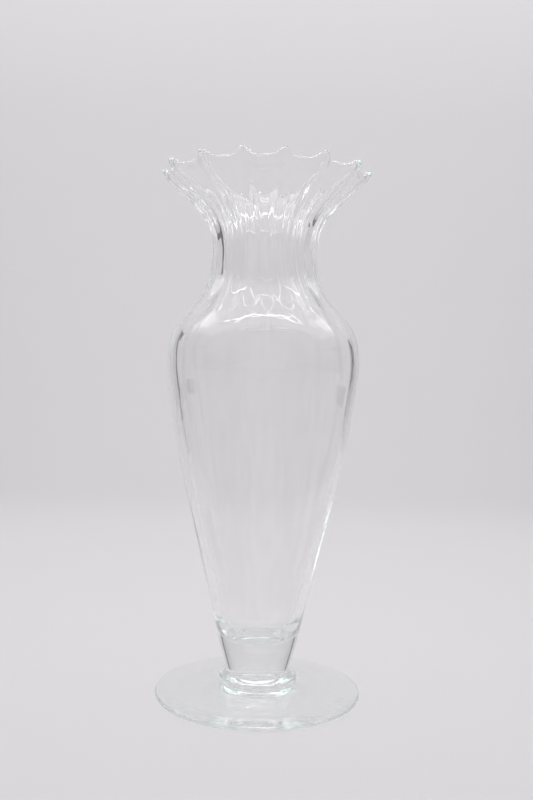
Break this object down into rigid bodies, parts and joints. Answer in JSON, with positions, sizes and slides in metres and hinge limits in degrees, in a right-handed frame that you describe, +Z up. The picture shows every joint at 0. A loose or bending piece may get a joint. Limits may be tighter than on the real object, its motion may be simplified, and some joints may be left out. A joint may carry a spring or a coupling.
{
  "type": "footed glass vase",
  "caption": "Tall blown-glass flower vase with a ribbed ovoid body, waisted neck, flared crimped lip, solid stem, collar and round disc foot.",
  "frame": {"origin": "middle of the flat underside of the foot", "axes": "+Z up along the vase's axis to the lip, front of the vase towards -Y, +X to the right"},
  "size_m": [0.1194, 0.118, 0.3],
  "materials": {
    "clear_glass": "clear blown glass with a faint green tint that shows in thick edges, glossy"
  },
  "bodies": {
    "root": {"bowl": "clear_glass", "stem": "clear_glass", "collar": "clear_glass", "foot": "clear_glass"}
  },
  "joints": []
}
